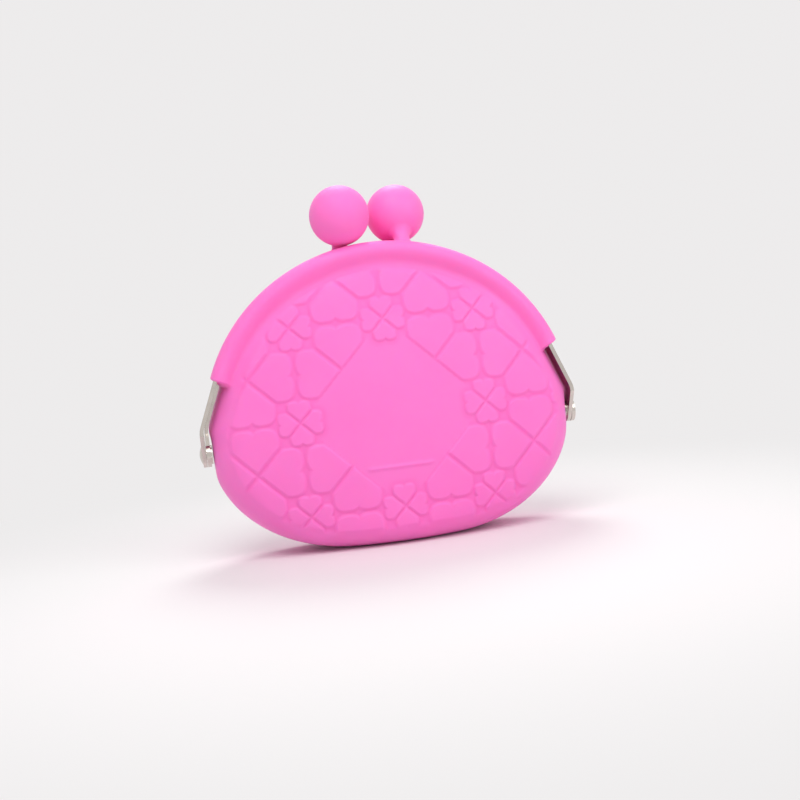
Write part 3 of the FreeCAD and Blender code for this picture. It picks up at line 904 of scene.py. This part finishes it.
def seen_rays(tree):
    """1 for rays that show a surface: from the camera, off gloss or through clear matter."""
    path = add_node(tree, "ShaderNodeLightPath").outputs
    either = math_node(tree, "MAXIMUM", path["Is Camera Ray"], path["Is Glossy Ray"])
    return math_node(tree, "MAXIMUM", either, path["Is Transmission Ray"])


def floor_material(stage):
    """Pale matte floor that runs out into the background's own colour, for rays that show it."""
    material, tree, shader = new_material("pale_floor")
    set_inputs(tree, shader, {"Base Color": rgba(stage.floor), "Roughness": 0.9, "Specular IOR Level": 0.1})
    away = add_node(tree, "ShaderNodeVectorMath", {0: object_place(tree)}, operation="LENGTH")
    share = remap(tree, away.outputs["Value"], (stage.floor_near, stage.floor_far), (0.0, 1.0), "SMOOTHSTEP")
    shown = math_node(tree, "MULTIPLY", share, seen_rays(tree))
    glow = add_node(tree, "ShaderNodeEmission", {"Color": rgba(stage.background), "Strength": 1.0})
    surface = mix_shader(tree, shown, shader, glow)
    set_inputs(tree, tree.nodes["Material Output"], {"Surface": surface})
    return material


def shared_material(name, maker, finish):
    """The named material, made once."""
    return bpy.data.materials.get(name) or maker(finish)


def dress(piece, material):
    """Give a piece one material."""
    piece.data.materials.clear()
    piece.data.materials.append(material)


class PURSE_OT_skin(bpy.types.Operator):
    """Build the moulded silicone skin of both halves"""
    bl_idname = "purse.skin"
    bl_label = "Moulded skin"

    def execute(self, context):
        settings = context.scene.purse
        points, quads, triangles, grooves, sharp = moulded_skin(settings)
        material = shared_material("moulded_silicone", silicone_material, settings.finish)
        for half, turn in HALVES:
            piece = mesh_piece(half + "_moulded_skin", points * turn, quads, triangles, grooves, sharp)
            dress(piece, material)
            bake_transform(piece)
            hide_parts("pouch_bowl", half + "_wall", half + "_rim_bead", half + "_fold")
        return {"FINISHED"}


class PURSE_OT_clasps(bpy.types.Operator):
    """Build the covered balls with their necks"""
    bl_idname = "purse.clasps"
    bl_label = "Ball clasps"

    def execute(self, context):
        settings = context.scene.purse
        points, quads, triangles = clasp_skin(settings)
        material = shared_material("moulded_silicone", silicone_material, settings.finish)
        for half, turn in HALVES:
            piece = mesh_piece(half + "_ball_skin", points * turn, quads, triangles, np.zeros(len(points)))
            dress(piece, material)
            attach(piece, half + "_half")
            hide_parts(half + "_ball_cover")
        return {"FINISHED"}


class PURSE_OT_frame(bpy.types.Operator):
    """Finish the steel frame bars, rivets, posts and the ball cores"""
    bl_idname = "purse.frame"
    bl_label = "Frame finish"

    def execute(self, context):
        finish = context.scene.purse.finish
        nickel = shared_material("nickel_plate", nickel_material, finish)
        core = shared_material("core_plastic", core_material, finish)
        for name, node in frame["nodes"].items():
            if name.endswith(("frame_bar", "hinge_rivet", "clasp_post")):
                dress(node, nickel)
            elif name.endswith("clasp_core"):
                dress(node, core)
        return {"FINISHED"}


class PURSE_OT_stage(bpy.types.Operator):
    """Build the floor, the soft light and the camera"""
    bl_idname = "purse.stage"
    bl_label = "Stage"

    def execute(self, context):
        scene, stage = context.scene, context.scene.purse.stage
        scene.view_settings.view_transform = "Standard"
        self.light(scene, stage)
        floor = mesh_piece("floor", *floor_disc(stage))
        dress(floor, floor_material(stage))
        self.camera(scene, stage)
        return {"FINISHED"}

    def light(self, scene, stage):
        """Pale world for rays that show it, softer world for light, and three wide lamps."""
        world = bpy.data.worlds.new("purse_world")
        scene.world = world
        world.use_nodes = True
        tree = world.node_tree
        tree.nodes.clear()
        ambient, pale = [add_node(tree, "ShaderNodeBackground", {"Color": rgba(tone), "Strength": strength})
                         for tone, strength in ((WHITE, stage.ambient), (stage.background, 1.0))]
        surface = mix_shader(tree, seen_rays(tree), ambient, pale)
        add_node(tree, "ShaderNodeOutputWorld", {"Surface": surface})
        for name, place, size, power in LAMPS:
            lamp = bpy.data.lights.new(name, "AREA")
            lamp.shape, lamp.size, lamp.energy = "DISK", size, power
            holder = bpy.data.objects.new(name, lamp)
            holder.location = place
            aim = Vector((0.0, 0.0, stage.target)) - Vector(place)
            holder.rotation_euler = aim.to_track_quat("-Z", "Y").to_euler()
            scene.collection.objects.link(holder)

    def camera(self, scene, stage):
        """Camera on its circle round the purse, rolled so that the purse leans in the picture."""
        lens = bpy.data.cameras.new("purse_camera")
        lens.sensor_width = FILM_WIDTH
        lens.lens = FILM_WIDTH * stage.focal
        lens.shift_x = stage.shift
        lens.clip_start, lens.clip_end = CLIP_NEAR, CLIP_FAR
        holder = bpy.data.objects.new("purse_camera", lens)
        level, height = math.cos(stage.elevation), math.sin(stage.elevation)
        back = Vector((math.sin(stage.azimuth) * level, -math.cos(stage.azimuth) * level, height))
        holder.location = Vector((0.0, 0.0, stage.target)) + back * stage.distance
        turn = (-back).to_track_quat("-Z", "Y").to_matrix() @ Matrix.Rotation(-stage.roll, 3, "Z")
        holder.rotation_euler = turn.to_euler()
        scene.collection.objects.link(holder)
        scene.camera = holder


class PURSE_PT_panel(bpy.types.Panel):
    """Purse sizes, colours and build steps"""
    bl_idname = "PURSE_PT_panel"
    bl_label = "Coin purse"
    bl_space_type = "VIEW_3D"
    bl_region_type = "UI"
    bl_category = "Purse"

    def draw(self, context):
        settings = context.scene.purse
        for step in (PURSE_OT_skin, PURSE_OT_clasps, PURSE_OT_frame, PURSE_OT_stage):
            self.layout.operator(step.bl_idname)
        for group in ("mouth", "pouch", "rim", "relief", "clasp", "finish", "stage"):
            box = self.layout.box()
            box.label(text=group.capitalize())
            for key in getattr(settings, group).__annotations__:
                box.prop(getattr(settings, group), key)


CLASSES = (PurseMouth, PursePouch, PurseRim, PurseRelief, PurseClasp, PurseFinish, PurseStage, PurseSettings,
           PURSE_OT_skin, PURSE_OT_clasps, PURSE_OT_frame, PURSE_OT_stage, PURSE_PT_panel)


def register():
    for item in CLASSES:
        bpy.utils.register_class(item)
    bpy.types.Scene.purse = PointerProperty(type=PurseSettings)


def unregister():
    del bpy.types.Scene.purse
    for item in reversed(CLASSES):
        bpy.utils.unregister_class(item)


def main():
    register()
    bpy.ops.purse.stage()
    bpy.ops.purse.skin()
    bpy.ops.purse.clasps()
    bpy.ops.purse.frame()


if __name__ == "__main__":
    main()
